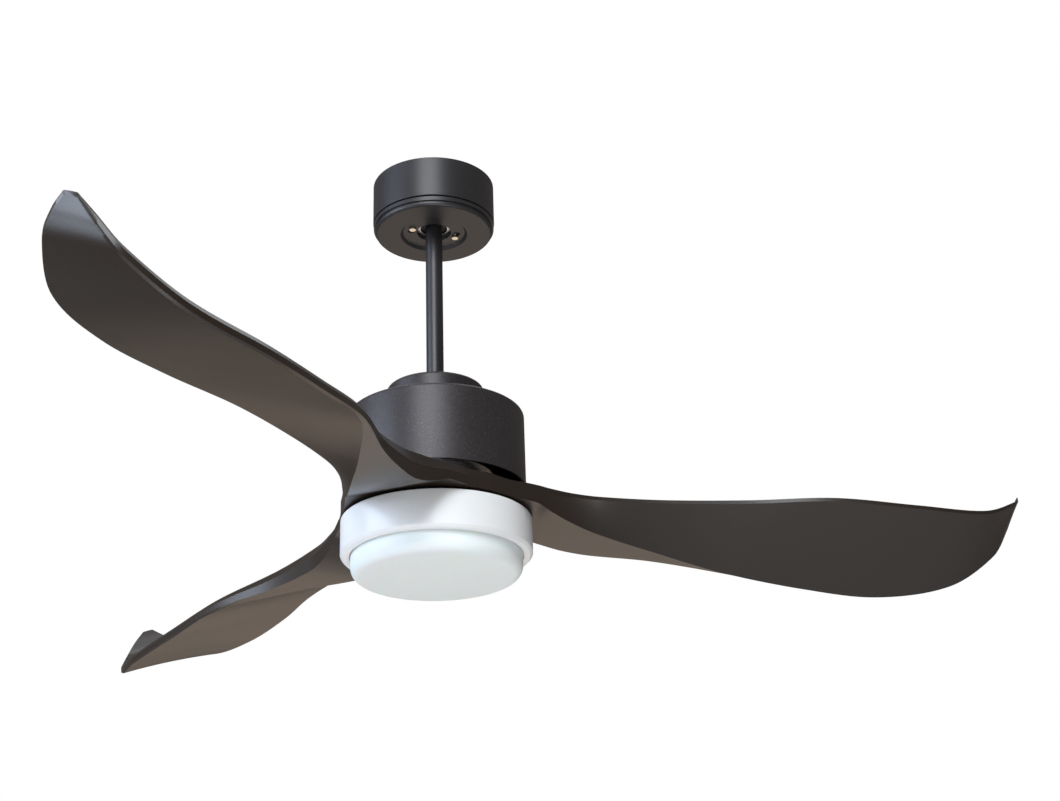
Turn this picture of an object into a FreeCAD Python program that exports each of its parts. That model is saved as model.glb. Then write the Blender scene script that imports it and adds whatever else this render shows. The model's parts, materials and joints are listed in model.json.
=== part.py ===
"""Ceiling fan with light: parametric model of every separate piece.

Millimetres, +Z up. The origin is on the fan's axis in the ceiling plane, so the
whole fan hangs below zero. Every size that can be set by itself is one cell of
the sheet; the pieces are bound to those cells, and neighbours share them.
"""
import FreeCAD, Part
import math
import os

import Sketcher
from FreeCAD import Placement, Rotation, Vector

# Driving dimensions: one cell each, in millimetres or degrees. A "depth" is
# measured down from the ceiling.
SIZES = {
    # canopy and its bracket
    "canopy_radius": 69.0,
    "canopy_wall": 1.5,
    "cup_depth": 48.5,
    "canopy_depth": 60.5,
    "canopy_groove": 1.8,
    "recess_radius": 38.0,
    "recess_depth": 3.0,
    "canopy_hole_radius": 19.5,
    "canopy_screw_circle": 26.0,
    "screw_angle": 22.0,
    "canopy_twist": 15.0,
    "screw_radius": 1.95,
    "head_radius": 3.6,
    "head_height": 2.2,
    "bracket_length": 114.0,
    "bracket_width": 46.0,
    "bracket_sheet": 2.5,
    "ceiling_hole_spacing": 84.0,
    "ceiling_hole_radius": 2.75,
    # ball joint
    "ball_radius": 16.6,
    "ball_half_height": 8.8,
    "ball_depth": 41.0,
    "socket_gap": 0.3,
    "liner_wall": 2.2,
    # receiver
    "receiver_length": 88.0,
    "receiver_width": 36.0,
    "receiver_height": 17.0,
    "receiver_wall": 1.6,
    # downrod and coupling
    "rod_radius": 9.5,
    "rod_wall": 2.0,
    "rod_top_depth": 28.0,
    "cover_radius": 53.0,
    "cover_depth": 256.0,
    "cover_wall": 1.5,
    "yoke_radius": 16.0,
    "pin_radius": 3.0,
    # motor
    "housing_radius": 96.0,
    "housing_top": 289.0,
    "housing_bottom": 374.0,
    "housing_wall": 1.8,
    "shaft_radius": 9.0,
    "shaft_bore": 5.5,
    "stator_radius": 54.0,
    "stator_bore": 20.0,
    "stator_top": 330.0,
    "stator_height": 18.0,
    "coil_overhang": 5.0,
    "tooth_width": 9.0,
    "magnet_thickness": 3.0,
    "air_gap": 0.8,
    "rotor_wall": 3.0,
    "bearing_radius": 16.0,
    "bearing_width": 8.0,
    "race_wall": 2.0,
    "running_gap": 0.05,
    "board_drop": 13.0,
    "board_radius": 70.0,
    # blades and the carrier that turns them
    "hub_radius": 101.0,
    "sweep_radius": 656.0,
    "root_top": 386.5,
    "root_inner_radius": 56.0,
    "carrier_radius": 80.0,
    "carrier_sheet": 3.0,
    "blade_screw_circle": 68.0,
    "blade_angle": 5.0,
    "blade_chord": 160.0,
    "blade_drop": 80.0,
    "blade_edge": 4.0,
    # light
    "ring_radius": 101.0,
    "ring_top": 408.0,
    "ring_bottom": 448.5,
    "ring_wall": 2.6,
    "diffuser_radius": 90.2,
    "diffuser_depth": 470.0,
    "diffuser_wall": 2.4,
    "diffuser_corner": 11.0,
    "diffuser_twist": 14.0,
    "led_radius": 82.0,
    "seam_gap": 0.25,
}
SHEET = "Sizes"
COPPER_COILS = 12
MAGNETS = 14
LED_RINGS = ((30.0, 10), (52.0, 18), (72.0, 26))
BALLS_PER_BEARING = 9
BLADES = 3
BLADE_SCREW_ANGLES = (-24.0, 0.0, 24.0)

# The blade's form. Each row is one section across the blade: its place along the
# span from root (0) to tip (1), then the side offset and the drop below the root's
# top of four corners: the trailing edge, the front foot where the underside begins,
# the back foot where the leading face begins, and the top of the leading face.
# Offsets are shares of the blade's chord, drops are shares of its drop.
# The first few sections are flat underneath, where they pass over the light.
FLAT_SECTIONS = 3
BLADE_SECTIONS = (
    (0.000, (-0.546, 0.000), (-0.546, 0.237), (0.546, 0.237), (0.546, 0.000)),
    (0.040, (-0.450, 0.051), (-0.438, 0.237), (0.456, 0.237), (0.441, 0.001)),
    (0.083, (-0.369, 0.059), (-0.344, 0.237), (0.388, 0.237), (0.362, 0.004)),
    (0.108, (-0.325, 0.071), (-0.281, 0.306), (0.362, 0.306), (0.325, 0.014)),
    (0.148, (-0.269, 0.086), (-0.194, 0.400), (0.338, 0.412), (0.287, 0.037)),
    (0.197, (-0.231, 0.099), (-0.075, 0.463), (0.331, 0.481), (0.269, 0.087)),
    (0.313, (-0.219, 0.119), (0.212, 0.506), (0.381, 0.519), (0.331, 0.225)),
    (0.462, (-0.263, 0.131), (0.512, 0.594), (0.537, 0.581), (0.506, 0.419)),
    (0.610, (-0.369, 0.156), (0.588, 0.756), (0.606, 0.744), (0.584, 0.606)),
    (0.759, (-0.375, 0.244), (0.606, 0.863), (0.622, 0.850), (0.600, 0.713)),
    (0.891, (-0.294, 0.244), (0.475, 0.775), (0.491, 0.762), (0.475, 0.631)),
    (0.967, (-0.144, 0.000), (0.312, 0.431), (0.328, 0.419), (0.319, 0.300)),
    (0.990, (-0.031, -0.144), (0.212, 0.106), (0.225, 0.100), (0.219, 0.006)),
    (1.000, (0.056, -0.231), (0.138, -0.156), (0.144, -0.163), (0.138, -0.212)),
)

doc = FreeCAD.newDocument("ceiling_fan_light")


class Size:
    """A length with its present value and the sheet expression that gives it."""

    def __init__(self, value, text):
        self.value = float(value)
        self.text = text

    def __add__(self, other):
        other = as_size(other)
        return Size(self.value + other.value, f"({self.text} + {other.text})")

    def __radd__(self, other):
        return as_size(other) + self

    def __sub__(self, other):
        other = as_size(other)
        return Size(self.value - other.value, f"({self.text} - {other.text})")

    def __rsub__(self, other):
        return as_size(other) - self

    def __mul__(self, factor):
        return Size(self.value * factor, f"({self.text} * {factor})")

    def __neg__(self):
        return Size(-self.value, f"(-1 * {self.text})")


def as_size(number):
    """A bare number as a Size; a Size as it is."""
    return number if isinstance(number, Size) else Size(number, f"{number:.6f}")


def make_sheet():
    """Write every driving dimension to the sheet, one aliased cell each."""
    sheet = doc.addObject("Spreadsheet::Sheet", SHEET)
    for row, (alias, value) in enumerate(SIZES.items(), start=1):
        sheet.set(f"A{row}", alias)
        sheet.set(f"B{row}", str(value))
        sheet.setAlias(f"B{row}", alias)
    doc.recompute()


def size(alias):
    """The named cell as a Size."""
    return Size(SIZES[alias], f"{SHEET}.{alias}")


def depth(alias):
    """A named depth below the ceiling as a height, so it is negative."""
    return -size(alias)


NODES = []


def publish(piece, label):
    """Give a finished sub-part its name and list it for export."""
    piece.Label = label
    NODES.append(piece)
    return piece


# --- building blocks -----------------------------------------------------------


def bind(target, prop, length):
    """Tie one property of an object to the sheet."""
    target.setExpression(prop, as_size(length).text)


def body(name):
    """A new PartDesign body."""
    return doc.addObject("PartDesign::Body", name)


def sketch_on(owner, plane, name, offset=None):
    """A sketch on one of the body's own origin planes, raised by an offset."""
    sketch = owner.newObject("Sketcher::SketchObject", name)
    face = next(f for f in owner.Origin.OriginFeatures if f.Role == plane)
    sketch.AttachmentSupport = [(face, "")]
    sketch.MapMode = "FlatFace"
    if offset is not None:
        bind(sketch, "AttachmentOffset.Base.z", offset)
    return sketch


def pin_point(sketch, edge, end, x, y):
    """Hold one sketch point at two sheet-driven distances from the origin."""
    for kind, length in (("DistanceX", x), ("DistanceY", y)):
        length = as_size(length)
        index = sketch.addConstraint(Sketcher.Constraint(kind, -1, 1, edge, end, length.value))
        sketch.setExpression(f"Constraints[{index}]", length.text)


def outline(sketch, corners):
    """Draw a closed outline of straight edges through sheet-driven corners."""
    corners = [(as_size(x), as_size(y)) for x, y in corners]
    count = len(corners)
    for i, (x, y) in enumerate(corners):
        x2, y2 = corners[(i + 1) % count]
        start = Vector(x.value, y.value, 0)
        sketch.addGeometry(Part.LineSegment(start, Vector(x2.value, y2.value, 0)))
    for i in range(count):
        sketch.addConstraint(Sketcher.Constraint("Coincident", i, 2, (i + 1) % count, 1))
    for i, (x, y) in enumerate(corners):
        pin_point(sketch, i, 1, x, y)


def turned(name, corners):
    """A body turned about the fan's axis from (radius, height) corners."""
    owner = body(name)
    sketch = sketch_on(owner, "XZ_Plane", f"{name}_profile")
    outline(sketch, corners)
    feature = owner.newObject("PartDesign::Revolution", f"{name}_turned")
    feature.Profile = sketch
    feature.ReferenceAxis = (sketch, ["V_Axis"])
    feature.Angle = 360
    doc.recompute()
    return owner


def round_rims(owner, rims, radius):
    """Fillet the circular edges of a body at the given (radius, height) places."""
    base = owner.Tip
    names = []
    for i, edge in enumerate(base.Shape.Edges, start=1):
        curve = edge.Curve
        if not isinstance(curve, Part.Circle):
            continue
        for rim_radius, height in rims:
            near_radius = abs(curve.Radius - as_size(rim_radius).value) < 0.01
            near_height = abs(curve.Center.z - as_size(height).value) < 0.01
            if near_radius and near_height and f"Edge{i}" not in names:
                names.append(f"Edge{i}")
    fillet = owner.newObject("PartDesign::Fillet", f"{owner.Name}_rounded")
    fillet.Base = (base, names)
    bind(fillet, "Radius", radius)
    owner.Tip = fillet
    doc.recompute()
    return owner


def cylinder(name, radius, height, x=0, y=0, z=0):
    """An upright Part cylinder from height z."""
    piece = doc.addObject("Part::Cylinder", name)
    bind(piece, "Radius", radius)
    bind(piece, "Height", height)
    place(piece, x, y, z)
    return piece


def block(name, length, width, height, x=0, y=0, z=0):
    """A Part box centred on x and y, standing on height z."""
    piece = doc.addObject("Part::Box", name)
    bind(piece, "Length", length)
    bind(piece, "Width", width)
    bind(piece, "Height", height)
    place(piece, as_size(x) - as_size(length) * 0.5, as_size(y) - as_size(width) * 0.5, z)
    return piece


def ball(name, radius, z):
    """A Part sphere on the fan's axis."""
    piece = doc.addObject("Part::Sphere", name)
    bind(piece, "Radius", radius)
    place(piece, 0, 0, z)
    return piece


def place(piece, x, y, z):
    """Tie an object's position to the sheet."""
    for axis, length in zip("xyz", (x, y, z)):
        bind(piece, f"Placement.Base.{axis}", length)


def around(radius, angle):
    """Expressions for the x and y of a point at a polar place."""
    radius, angle = as_size(radius), as_size(angle)
    turn = math.radians(angle.value)
    x = Size(radius.value * math.cos(turn), f"({radius.text} * cos({angle.text} * 1deg))")
    y = Size(radius.value * math.sin(turn), f"({radius.text} * sin({angle.text} * 1deg))")
    return x, y


def lying_pin(name, radius, length, z, angle=0, reach=None):
    """A cylinder across the fan's axis, centred unless a starting reach is given."""
    piece = doc.addObject("Part::Cylinder", name)
    bind(piece, "Radius", radius)
    bind(piece, "Height", length)
    start = as_size(length) * -0.5 if reach is None else as_size(reach)
    x, y = around(start, angle)
    place(piece, x, y, z)
    piece.Placement.Rotation = Rotation(Vector(0, 0, 1), as_size(angle).value) * Rotation(
        Vector(0, 1, 0), 90
    )
    place(piece, x, y, z)
    return piece


def fuse(name, pieces):
    """One solid of several overlapping ones."""
    joined = doc.addObject("Part::MultiFuse", name)
    joined.Shapes = pieces
    joined.Refine = True
    return joined


def cut(name, base, tools):
    """A solid with others taken out of it."""
    removed = tools[0]
    if len(tools) > 1:
        removed = doc.addObject("Part::MultiFuse", f"{name}_tools")
        removed.Shapes = tools
    result = doc.addObject("Part::Cut", name)
    result.Base = base
    result.Tool = removed
    return result


def common(name, first, second):
    """What two solids share."""
    result = doc.addObject("Part::MultiCommon", name)
    result.Shapes = [first, second]
    return result


def group(name, pieces):
    """Identical separate solids that share one node."""
    result = doc.addObject("Part::Compound", name)
    result.Links = pieces
    return result


def turn_about_axis(piece, angle):
    """Turn a finished object about the fan's axis."""
    piece.Placement = Placement(Vector(), Rotation(Vector(0, 0, 1), as_size(angle).value))
    piece.setExpression("Placement.Rotation.Angle", f"({as_size(angle).text} * 1deg)")
    return piece


def screw(name, radius, head_radius, length, x, y, z, head_below=True):
    """A pan-head screw; its head is outside the face at height z."""
    length = as_size(length)
    head_height = size("head_height")
    if head_below:
        shank_z = as_size(z) - head_height * 0.5
        shank = cylinder(f"{name}_shank", radius, length + head_height * 0.5, x, y, shank_z)
        head = cylinder(f"{name}_head", head_radius, head_height, x, y, as_size(z) - head_height)
    else:
        shank = cylinder(f"{name}_shank", radius, length + head_height * 0.5, x, y, as_size(z) - length)
        head = cylinder(f"{name}_head", head_radius, head_height, x, y, z)
    return fuse(name, [shank, head])


# --- canopy and ceiling bracket ------------------------------------------------


def socket_radius():
    """Inner radius of the bracket's saddle, around the ball's liner."""
    return size("ball_radius") + size("liner_wall") + size("socket_gap") * 2


def recess_face():
    """Height of the canopy's recessed outer face, where its screws bear."""
    return depth("canopy_depth") + size("recess_depth")


def make_bracket():
    """Steel ceiling bracket: slotted plate, two webs and the ball's saddle."""
    sheet = size("bracket_sheet")
    saddle_wall, saddle_height, boss_radius = 4.0, 12.0, 4.4
    outer = socket_radius() + saddle_wall
    saddle_bottom = depth("ball_depth") - saddle_height
    boss_bottom = recess_face() + size("canopy_wall") + size("socket_gap")
    pieces = [
        block("bracket_plate", size("bracket_length"), size("bracket_width"), sheet, z=-sheet),
        cylinder("bracket_saddle", outer, saddle_height, z=saddle_bottom),
    ]
    for side in (-1, 1):
        web_y = (outer - sheet * 0.5) * side
        web = block(f"bracket_web{side}", 28.0, sheet, -saddle_bottom, y=web_y, z=saddle_bottom)
        boss_x = size("canopy_screw_circle") * side
        boss = cylinder(
            f"bracket_boss{side}", boss_radius, depth("ball_depth") - boss_bottom, boss_x, 0, boss_bottom
        )
        pieces += [web, boss]
    tools = [ball("bracket_socket", socket_radius(), depth("ball_depth"))]
    for side in (-1, 1):
        boss_x = size("canopy_screw_circle") * side
        hole = cylinder(
            f"boss_hole{side}",
            size("screw_radius") + size("running_gap"),
            depth("ball_depth") - boss_bottom + 2,
            boss_x,
            0,
            boss_bottom - 1,
        )
        slot_x = size("ceiling_hole_spacing") * 0.5 * side
        slot = cylinder(
            f"ceiling_hole{side}", size("ceiling_hole_radius"), sheet + 2, slot_x, 0, -sheet - 1
        )
        tools += [hole, slot]
    bracket = cut("ceiling_bracket", fuse("bracket_solid", pieces), tools)
    publish(turn_about_axis(bracket, size("screw_angle")), "ceiling_bracket")


def make_canopy():
    """Cylindrical canopy cup and the dished cap that closes it below."""
    radius, wall = size("canopy_radius"), size("canopy_wall")
    cup_bottom = depth("cup_depth")
    lip, neck, skirt, step = 7.0, 3.5, 0.6, 2.6
    cup = turned("canopy_cup", [
        (radius - wall, 0), (radius, 0), (radius, cup_bottom), (radius - lip, cup_bottom),
        (radius - lip, cup_bottom + wall), (radius - wall, cup_bottom + wall),
    ])
    round_rims(cup, [(radius, cup_bottom)], 0.8)
    publish(cup, "canopy_cup")

    band_top = cup_bottom - size("canopy_groove")
    band_bottom = band_top - 4.6
    face, recess = depth("canopy_depth"), recess_face()
    recess_radius, hole = size("recess_radius"), size("canopy_hole_radius")
    slope = size("recess_depth")
    inner = radius - step - wall - 1.0
    cap = turned("canopy_cap_shell", [
        (radius - lip - 2, cup_bottom), (radius - neck, cup_bottom), (radius - neck, band_top),
        (radius - skirt, band_top), (radius - skirt, band_bottom), (radius - step, band_bottom),
        (radius - step, face), (recess_radius, face), (recess_radius - slope, recess),
        (hole, recess), (hole, recess + wall), (recess_radius - slope + wall * 0.4, recess + wall),
        (recess_radius + wall * 0.4, face + wall), (inner, face + wall),
        (inner, cup_bottom - wall), (radius - lip - 2, cup_bottom - wall),
    ])
    round_rims(cap, [(radius - step, face)], 3.0)
    keyholes = []
    circle, screw_angle = size("canopy_screw_circle"), size("screw_angle")
    for side in (0, 180):
        seat_x, seat_y = around(circle, screw_angle + side)
        exit_x, exit_y = around(circle, screw_angle + side - size("canopy_twist"))
        middle = screw_angle + side - size("canopy_twist") * 0.5
        mid_x, mid_y = around(circle, middle)
        slot_width = size("screw_radius") * 2 + 0.9
        keyholes += [
            cylinder(f"keyhole_seat{side}", slot_width * 0.5, 6.0, seat_x, seat_y, recess - 2),
            cylinder(f"keyhole_exit{side}", size("head_radius") + 0.5, 6.0, exit_x, exit_y, recess - 2),
        ]
        slot = lying_slot(
            f"keyhole_slot{side}", 7.2, slot_width, 6.0, mid_x, mid_y, recess - 2, middle + 90
        )
        keyholes.append(slot)
    publish(cut("canopy_cap", cap, keyholes), "canopy_cap")

    screws = []
    for side in (0, 180):
        x, y = around(circle, screw_angle + side)
        screws.append(screw(
            f"canopy_screw{side}", size("screw_radius"), size("head_radius"), 12.0, x, y, recess
        ))
    publish(group("canopy_screws", screws), "canopy_screws")


def lying_slot(name, length, width, height, x, y, z, angle):
    """A box centred on a place and turned about its own upright axis."""
    piece = doc.addObject("Part::Box", name)
    bind(piece, "Length", length)
    bind(piece, "Width", width)
    bind(piece, "Height", height)
    turn = math.radians(as_size(angle).value)
    half_x, half_y = as_size(length) * 0.5, as_size(width) * 0.5
    piece.Placement.Rotation = Rotation(Vector(0, 0, 1), as_size(angle).value)
    place(
        piece,
        as_size(x) - half_x * math.cos(turn) + half_y * math.sin(turn),
        as_size(y) - half_x * math.sin(turn) - half_y * math.cos(turn),
        z,
    )
    return piece


def make_receiver():
    """Remote receiver: case, lid and board, held between the bracket's webs."""
    length, width, height = size("receiver_length"), size("receiver_width"), size("receiver_height")
    wall, top = size("receiver_wall"), -size("bracket_sheet")
    floor = top - height
    shell = block("receiver_block", length, width, height - wall, z=floor)
    hollow = block("receiver_hollow", length - wall * 2, width - wall * 2, height, z=floor + wall)
    pieces = [
        (cut("receiver_case", shell, [hollow]), "receiver_case"),
        (group("receiver_lid", [block("lid_sheet", length, width, wall, z=top - wall)]), "receiver_lid"),
        (group("receiver_board", [
            block("board_sheet", length - wall * 4, width - wall * 4, 1.6, z=floor + wall)
        ]), "receiver_board"),
    ]
    relay_z = floor + wall + 1.6
    relays = [
        block(f"relay{i}", 12.0, 9.0, 9.0, x=-24.0 + 24.0 * i, z=relay_z) for i in range(3)
    ]
    pieces.append((group("receiver_relays", relays), "receiver_relays"))
    web_face = socket_radius() + 4.0
    terminal = block("terminal_body", 26.0, 11.0, 13.0, y=web_face + 5.5, z=-32.0)
    screw_holes = [
        cylinder(f"terminal_hole{i}", 2.2, 9.0, -8.0 + 8.0 * i, web_face + 5.5, -33.0) for i in range(3)
    ]
    pieces.append((cut("terminal_block", terminal, screw_holes), "terminal_block"))
    for piece, label in pieces:
        publish(turn_about_axis(piece, size("screw_angle")), label)


# --- ball joint and downrod ----------------------------------------------------


def slab(name, bottom, height):
    """A wide disc used to trim a sphere between two heights."""
    return cylinder(name, 60.0, height, z=bottom)


def make_ball_joint():
    """Hanger ball, its nylon liner and the pin that holds the ball to the rod."""
    centre, ball_radius = depth("ball_depth"), size("ball_radius")
    half, gap = size("ball_half_height"), size("socket_gap")
    fit = size("running_gap")
    liner_solid = common(
        "liner_zone",
        ball("liner_outer", ball_radius + gap + size("liner_wall"), centre),
        slab("liner_slab", centre - half, half + 2),
    )
    liner = cut("ball_liner", liner_solid, [ball("liner_inner", ball_radius + gap, centre)])
    publish(liner, "ball_liner")

    ball_solid = common(
        "ball_zone", ball("ball_sphere", ball_radius, centre), slab("ball_slab", centre - half, half * 2)
    )
    rod_bore = cylinder("ball_bore", size("rod_radius") + fit, half * 4, z=centre - half * 2)
    pin_hole = lying_pin("ball_pin_hole", size("pin_radius") + fit, ball_radius * 3, centre, 90)
    publish(cut("hanger_ball", ball_solid, [rod_bore, pin_hole]), "hanger_ball")
    publish(lying_pin("ball_pin", size("pin_radius"), ball_radius * 2 - 3, centre, 90), "ball_pin")


def rod_bottom():
    """Height of the rod's lower end, inside the yoke."""
    return depth("housing_top") + 8


def yoke_pin_height():
    """Height of the clevis pin through the yoke and the rod."""
    return depth("cover_depth") - 12


def make_downrod():
    """Steel downrod with a cross hole at each end."""
    radius, wall = size("rod_radius"), size("rod_wall")
    tube = turned("downrod_tube", [
        (radius - wall, depth("rod_top_depth")), (radius, depth("rod_top_depth")),
        (radius, rod_bottom()), (radius - wall, rod_bottom()),
    ])
    pin_hole = size("pin_radius") + size("running_gap")
    holes = [
        lying_pin("rod_ball_hole", pin_hole, radius * 3, depth("ball_depth"), 90),
        lying_pin("rod_yoke_hole", pin_hole, radius * 3, yoke_pin_height()),
    ]
    publish(cut("downrod", tube, holes), "downrod")


def make_yoke():
    """Yoke that joins the rod to the motor shaft, with its pin, clip and set screws."""
    fit, outer = size("running_gap"), size("yoke_radius")
    rod, shaft = size("rod_radius") + fit, size("shaft_radius") + fit
    top, bottom = depth("cover_depth") - 4, depth("housing_top") - 10
    sleeve = turned("yoke_sleeve", [
        (rod, top), (outer, top), (outer, bottom), (shaft, bottom),
        (shaft, rod_bottom()), (rod, rod_bottom()),
    ])
    pin_z, pin_radius = yoke_pin_height(), size("pin_radius")
    set_radius, set_length = 2.5, size("yoke_radius") - size("rod_radius") + 3
    tools = [lying_pin("yoke_pin_hole", pin_radius + fit, outer * 3, pin_z)]
    screws = []
    for side in (90, 270):
        reach = size("rod_radius") + fit
        tools.append(lying_pin(f"set_hole{side}", set_radius + fit, 20.0, pin_z, side, reach))
        screws.append(lying_pin(f"set_screw{side}", set_radius, set_length, pin_z, side, reach))
    publish(cut("yoke", sleeve, tools), "yoke")
    publish(group("yoke_set_screws", screws), "yoke_set_screws")

    pin_length = outer * 2 + 14
    pin = lying_pin("yoke_pin_rod", pin_radius, pin_length, pin_z)
    head = lying_pin("yoke_pin_head", pin_radius + 1.5, 2.0, pin_z, 0, -(pin_length * 0.5) - 1)
    clip_x = pin_length * 0.5 - 3
    clip_hole = cylinder("clip_hole", 1.0 + fit, 12.0, clip_x, 0, pin_z - 6)
    publish(cut("yoke_pin", fuse("yoke_pin_solid", [pin, head]), [clip_hole]), "yoke_pin")
    publish(cylinder("yoke_pin_clip", 1.0, 12.0, clip_x, 0, pin_z - 6), "yoke_pin_clip")


def make_coupling_cover():
    """Shallow cover that hides the yoke on top of the motor housing."""
    radius, wall = size("cover_radius"), size("cover_wall")
    top, bottom = depth("cover_depth"), depth("housing_top")
    hole = size("rod_radius") + 0.6
    cover = turned("coupling_cover", [
        (hole, top), (radius, top), (radius, bottom), (radius - wall, bottom),
        (radius - wall, top - wall), (hole, top - wall),
    ])
    round_rims(cover, [(radius, top)], 3.0)
    publish(cover, "coupling_cover")


# --- motor -----------------------------------------------------------------------


def make_housing():
    """Fixed motor housing, the steel plate that carries it and its screws."""
    radius, wall = size("housing_radius"), size("housing_wall")
    top, bottom = depth("housing_top"), depth("housing_bottom")
    hole = size("yoke_radius") + 0.4
    housing = turned("housing_shell", [
        (hole, top), (radius, top), (radius, bottom), (radius - wall, bottom),
        (radius - wall, top - wall), (hole, top - wall),
    ])
    round_rims(housing, [(radius, top)], 4.0)
    plate_radius, plate_sheet, screw_circle = 42.0, 3.0, 32.0
    plate_top = top - wall
    plate = turned("top_plate_disc", [
        (size("yoke_radius") + size("running_gap"), plate_top), (plate_radius, plate_top),
        (plate_radius, plate_top - plate_sheet),
        (size("yoke_radius") + size("running_gap"), plate_top - plate_sheet),
    ])
    screws, housing_holes, plate_holes = [], [], []
    for angle in (30, 150, 270):
        x, y = around(screw_circle, angle)
        hole_radius = size("screw_radius") + size("running_gap")
        housing_holes.append(cylinder(f"housing_hole{angle}", hole_radius, 6.0, x, y, top - 4))
        plate_holes.append(cylinder(f"plate_hole{angle}", hole_radius, 8.0, x, y, plate_top - 6))
        screws.append(screw(
            f"housing_screw{angle}", size("screw_radius"), size("head_radius"), 6.0, x, y, top, False
        ))
    publish(cut("housing_drilled", housing, housing_holes), "motor_housing")
    publish(cut("plate_drilled", plate, plate_holes), "motor_top_plate")
    publish(group("housing_screws", screws), "housing_screws")


def make_controller():
    """Motor controller board on three spacers under the housing's top."""
    top = depth("housing_top") - size("housing_wall")
    board_top = top - size("board_drop")
    thickness, spacer_radius, spacer_circle = 1.6, 3.2, 58.0
    board = turned("controller_board", [
        (26.0, board_top), (size("board_radius"), board_top),
        (size("board_radius"), board_top - thickness), (26.0, board_top - thickness),
    ])
    publish(board, "controller_board")
    spacers = []
    for angle in (90, 210, 330):
        x, y = around(spacer_circle, angle)
        spacers.append(cylinder(f"spacer{angle}", spacer_radius, size("board_drop"), x, y, board_top))
    publish(group("board_spacers", spacers), "board_spacers")
    parts = []
    for i in range(3):
        x, y = around(46.0, 20 + 22 * i)
        parts.append(cylinder(f"capacitor{i}", 5.0, 9.0, x, y, board_top))
    for i in range(6):
        x, y = around(44.0, 120 + 30 * i)
        parts.append(cylinder(f"coil_choke{i}", 3.5, 5.0, x, y, board_top))
    publish(group("controller_parts", parts), "controller_parts")


def make_shaft():
    """Hollow fixed shaft that carries the stator, the bearings and the light."""
    radius, bore = size("shaft_radius"), size("shaft_bore")
    top, bottom = rod_bottom() - 0.5, depth("ring_top") - 10
    walls = [(bore, top), (radius, top), (radius, bottom), (bore, bottom)]
    publish(turned("motor_shaft", walls), "motor_shaft")


def make_stator():
    """Laminated core with twelve teeth, its hub and one coil on each tooth."""
    fit = size("running_gap")
    top, height = depth("stator_top"), size("stator_height")
    bottom = top - height
    hub_radius = size("stator_bore")
    publish(turned("stator_hub", [
        (size("shaft_radius") + fit, top + 3), (hub_radius, top + 3), (hub_radius, bottom - 3),
        (size("shaft_radius") + fit, bottom - 3),
    ]), "stator_hub")

    yoke_radius, tip_depth, slot_width = 32.0, 4.0, 3.0
    outer, tooth = size("stator_radius"), size("tooth_width")
    pieces = [cylinder("stator_yoke", yoke_radius, height, z=bottom)]
    rim = cut("stator_rim", cylinder("rim_outer", outer, height, z=bottom),
              [cylinder("rim_inner", outer - tip_depth, height + 2, z=bottom - 1)])
    pieces.append(rim)
    slots, coils = [], []
    reach = outer - tip_depth + 1
    coil_start, coil_wall = yoke_radius + 2, 2.6
    coil_length = outer - tip_depth - 1 - coil_start
    overhang = size("coil_overhang")
    for i in range(COPPER_COILS):
        angle = 360.0 / COPPER_COILS * i
        pieces.append(radial_block(f"tooth{i}", 0, reach, tooth, height, bottom, angle))
        slot_angle = angle + 180.0 / COPPER_COILS
        slots.append(radial_block(
            f"slot_mouth{i}", outer - 10, 16.0, slot_width, height + 2, bottom - 1, slot_angle
        ))
        around_tooth = radial_block(
            f"coil_block{i}", coil_start, coil_length, tooth + coil_wall * 2, height + overhang * 2,
            bottom - overhang, angle,
        )
        inside = radial_block(
            f"coil_window{i}", coil_start - 1, coil_length + 2, tooth + 0.2, height + 0.2,
            bottom - 0.1, angle
        )
        coils.append(cut(f"coil{i}", around_tooth, [inside]))
    slots.append(cylinder("stator_bore_cut", hub_radius + fit, height + 2, z=bottom - 1))
    publish(cut("stator_core", fuse("stator_solid", pieces), slots), "stator_core")
    publish(group("stator_coils", coils), "stator_coils")


def radial_block(name, start, length, width, height, z, angle):
    """A box that runs outwards from the axis at one angle."""
    start, length = as_size(start), as_size(length)
    x, y = around(start + length * 0.5, angle)
    return lying_slot(name, length, width, height, x, y, z, angle)


def bearing_heights():
    """Bottom heights of the upper and the lower bearing."""
    shell_gap = 3.0
    upper = depth("stator_top") + size("coil_overhang") + shell_gap
    lower = depth("stator_top") - size("stator_height") - size("coil_overhang") - shell_gap
    return upper, lower - size("bearing_width")


def make_bearings():
    """Two ball bearings: inner races on the shaft, outer races in the rotor."""
    fit, race = size("running_gap"), size("race_wall")
    shaft, outer, width = size("shaft_radius"), size("bearing_radius"), size("bearing_width")
    inner_races, outer_races, balls = [], [], []
    track = (shaft + race + outer - race) * 0.5
    ball_radius = (outer - race - shaft - race) * 0.5 - fit
    for i, bottom in enumerate(bearing_heights()):
        inner_races.append(cut(
            f"inner_race{i}", cylinder(f"inner_race_disc{i}", shaft + race, width, z=bottom),
            [cylinder(f"inner_race_bore{i}", shaft + fit, width + 2, z=bottom - 1)],
        ))
        outer_races.append(cut(
            f"outer_race{i}", cylinder(f"outer_race_disc{i}", outer, width, z=bottom),
            [cylinder(f"outer_race_bore{i}", outer - race, width + 2, z=bottom - 1)],
        ))
        for k in range(BALLS_PER_BEARING):
            x, y = around(track, 360.0 / BALLS_PER_BEARING * k)
            sphere = doc.addObject("Part::Sphere", f"bearing_ball{i}_{k}")
            bind(sphere, "Radius", ball_radius)
            place(sphere, x, y, bottom + width * 0.5)
            balls.append(sphere)
    publish(group("bearing_inner_races", inner_races), "bearing_inner_races")
    publish(group("bearing_outer_races", outer_races), "bearing_outer_races")
    publish(group("bearing_balls", balls), "bearing_balls")


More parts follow.
